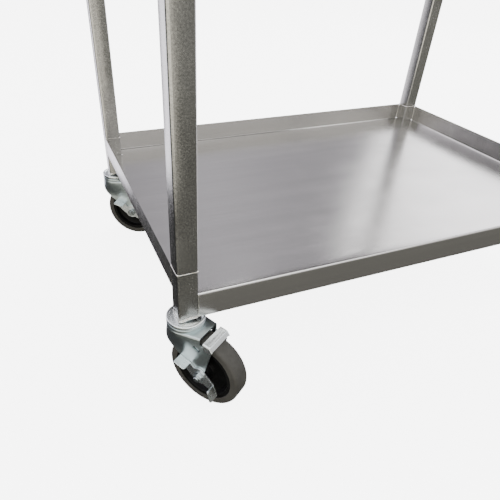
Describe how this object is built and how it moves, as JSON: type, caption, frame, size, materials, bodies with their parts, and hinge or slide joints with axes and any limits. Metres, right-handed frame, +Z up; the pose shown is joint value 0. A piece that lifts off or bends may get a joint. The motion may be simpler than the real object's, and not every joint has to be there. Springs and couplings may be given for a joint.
{
  "type": "kitchen island cart",
  "caption": "Stainless steel rolling kitchen island cart: flat worktop on square-tube legs, tray undershelf with raised rims, and swivel casters with side brakes.",
  "frame": {"origin": "on the floor under the middle of the cart", "axes": "+X along the long side, +Y from the open front edge of the shelf towards its back rim, +Z up"},
  "size_m": [0.9144, 0.7238, 0.864],
  "materials": {
    "brushed_steel": "brushed along the length, satin",
    "tube_steel": "mill-finish square tube, mottled on the front faces and smooth on the sides",
    "zinc_plate": "bright zinc plate",
    "dark_steel": "plain hardened steel",
    "hub_plastic": "moulded black polyolefin",
    "tread_rubber": "grey non-marking rubber"
  },
  "bodies": {
    "frame": {"worktop": "brushed_steel", "worktop_stiffener": "brushed_steel", "shelf": "brushed_steel", "shelf_stiffener": "brushed_steel", "top_rail_front": "tube_steel", "top_rail_back": "tube_steel", "top_rail_left": "tube_steel", "top_rail_right": "tube_steel", "leg_front_left": "tube_steel", "corner_post_front_left": "tube_steel", "stem_insert_front_left": "dark_steel", "swivel_head_front_left": "zinc_plate", "bearing_balls_front_left": "dark_steel", "leg_back_left": "tube_steel", "corner_post_back_left": "tube_steel", "stem_insert_back_left": "dark_steel", "swivel_head_back_left": "zinc_plate", "bearing_balls_back_left": "dark_steel", "leg_front_right": "tube_steel", "corner_post_front_right": "tube_steel", "stem_insert_front_right": "dark_steel", "swivel_head_front_right": "zinc_plate", "bearing_balls_front_right": "dark_steel", "leg_back_right": "tube_steel", "corner_post_back_right": "tube_steel", "stem_insert_back_right": "dark_steel", "swivel_head_back_right": "zinc_plate", "bearing_balls_back_right": "dark_steel"},
    "swivel_front_left": {"fork_front_left": "zinc_plate", "axle_bolt_front_left": "zinc_plate", "axle_nut_front_left": "zinc_plate", "axle_sleeve_front_left": "dark_steel"},
    "wheel_front_left": {"wheel_hub_front_left": "hub_plastic", "wheel_tread_front_left": "tread_rubber"},
    "lever_front_left": {"brake_lever_front_left": "zinc_plate"},
    "shoe_front_left": {"brake_shoe_front_left": "zinc_plate"},
    "swivel_back_left": {"fork_back_left": "zinc_plate", "axle_bolt_back_left": "zinc_plate", "axle_nut_back_left": "zinc_plate", "axle_sleeve_back_left": "dark_steel"},
    "wheel_back_left": {"wheel_hub_back_left": "hub_plastic", "wheel_tread_back_left": "tread_rubber"},
    "lever_back_left": {"brake_lever_back_left": "zinc_plate"},
    "shoe_back_left": {"brake_shoe_back_left": "zinc_plate"},
    "swivel_front_right": {"fork_front_right": "zinc_plate", "axle_bolt_front_right": "zinc_plate", "axle_nut_front_right": "zinc_plate", "axle_sleeve_front_right": "dark_steel"},
    "wheel_front_right": {"wheel_hub_front_right": "hub_plastic", "wheel_tread_front_right": "tread_rubber"},
    "lever_front_right": {"brake_lever_front_right": "zinc_plate"},
    "shoe_front_right": {"brake_shoe_front_right": "zinc_plate"},
    "swivel_back_right": {"fork_back_right": "zinc_plate", "axle_bolt_back_right": "zinc_plate", "axle_nut_back_right": "zinc_plate", "axle_sleeve_back_right": "dark_steel"},
    "wheel_back_right": {"wheel_hub_back_right": "hub_plastic", "wheel_tread_back_right": "tread_rubber"},
    "lever_back_right": {"brake_lever_back_right": "zinc_plate"},
    "shoe_back_right": {"brake_shoe_back_right": "zinc_plate"}
  },
  "joints": [
    {"name": "swivel_front_left", "type": "hinge", "parent": "frame", "child": "swivel_front_left", "pos_m": [-0.41263, -0.26913, 0.13], "axis": [0, 0, 1], "continuous": true},
    {"name": "wheel_front_left", "type": "hinge", "parent": "swivel_front_left", "child": "wheel_front_left", "pos_m": [-0.38853, -0.30353, 0.0635], "axis": [0.8192, 0.5736, 0], "continuous": true},
    {"name": "brake_lever_front_left", "type": "hinge", "parent": "swivel_front_left", "child": "lever_front_left", "pos_m": [-0.38853, -0.30353, 0.0635], "axis": [0.8192, 0.5736, 0], "range_deg": [-30, 0]},
    {"name": "brake_shoe_front_left", "type": "hinge", "parent": "swivel_front_left", "child": "shoe_front_left", "pos_m": [-0.38968, -0.30189, 0.1235], "axis": [0.8192, 0.5736, 0], "range_deg": [0, 4]},
    {"name": "swivel_back_left", "type": "hinge", "parent": "frame", "child": "swivel_back_left", "pos_m": [-0.41263, 0.26913, 0.13], "axis": [0, 0, 1], "continuous": true},
    {"name": "wheel_back_left", "type": "hinge", "parent": "swivel_back_left", "child": "wheel_back_left", "pos_m": [-0.37822, 0.24503, 0.0635], "axis": [0.5736, 0.8192, 0], "continuous": true},
    {"name": "brake_lever_back_left", "type": "hinge", "parent": "swivel_back_left", "child": "lever_back_left", "pos_m": [-0.37822, 0.24503, 0.0635], "axis": [0.5736, 0.8192, 0], "range_deg": [-30, 0]},
    {"name": "brake_shoe_back_left", "type": "hinge", "parent": "swivel_back_left", "child": "shoe_back_left", "pos_m": [-0.37986, 0.24618, 0.1235], "axis": [0.5736, 0.8192, 0], "range_deg": [0, 4]},
    {"name": "swivel_front_right", "type": "hinge", "parent": "frame", "child": "swivel_front_right", "pos_m": [0.41263, -0.26913, 0.13], "axis": [0, 0, 1], "continuous": true},
    {"name": "wheel_front_right", "type": "hinge", "parent": "swivel_front_right", "child": "wheel_front_right", "pos_m": [0.37206, -0.28, 0.0635], "axis": [0.2588, -0.9659, 0], "continuous": true},
    {"name": "brake_lever_front_right", "type": "hinge", "parent": "swivel_front_right", "child": "lever_front_right", "pos_m": [0.37206, -0.28, 0.0635], "axis": [0.2588, -0.9659, 0], "range_deg": [-30, 0]},
    {"name": "brake_shoe_front_right", "type": "hinge", "parent": "swivel_front_right", "child": "shoe_front_right", "pos_m": [0.37399, -0.27948, 0.1235], "axis": [0.2588, -0.9659, 0], "range_deg": [0, 4]},
    {"name": "swivel_back_right", "type": "hinge", "parent": "frame", "child": "swivel_back_right", "pos_m": [0.41263, 0.26913, 0.13], "axis": [0, 0, 1], "continuous": true},
    {"name": "wheel_back_right", "type": "hinge", "parent": "swivel_back_right", "child": "wheel_back_right", "pos_m": [0.38853, 0.30353, 0.0635], "axis": [-0.8192, -0.5736, 0], "continuous": true},
    {"name": "brake_lever_back_right", "type": "hinge", "parent": "swivel_back_right", "child": "lever_back_right", "pos_m": [0.38853, 0.30353, 0.0635], "axis": [-0.8192, -0.5736, 0], "range_deg": [-30, 0]},
    {"name": "brake_shoe_back_right", "type": "hinge", "parent": "swivel_back_right", "child": "shoe_back_right", "pos_m": [0.38968, 0.30189, 0.1235], "axis": [-0.8192, -0.5736, 0], "range_deg": [0, 4]}
  ],
  "couplings": [
    {"joint": "brake_shoe_front_left", "follows": "brake_lever_front_left", "ratio": -0.13333},
    {"joint": "brake_shoe_back_left", "follows": "brake_lever_back_left", "ratio": -0.13333},
    {"joint": "brake_shoe_front_right", "follows": "brake_lever_front_right", "ratio": -0.13333},
    {"joint": "brake_shoe_back_right", "follows": "brake_lever_back_right", "ratio": -0.13333}
  ]
}
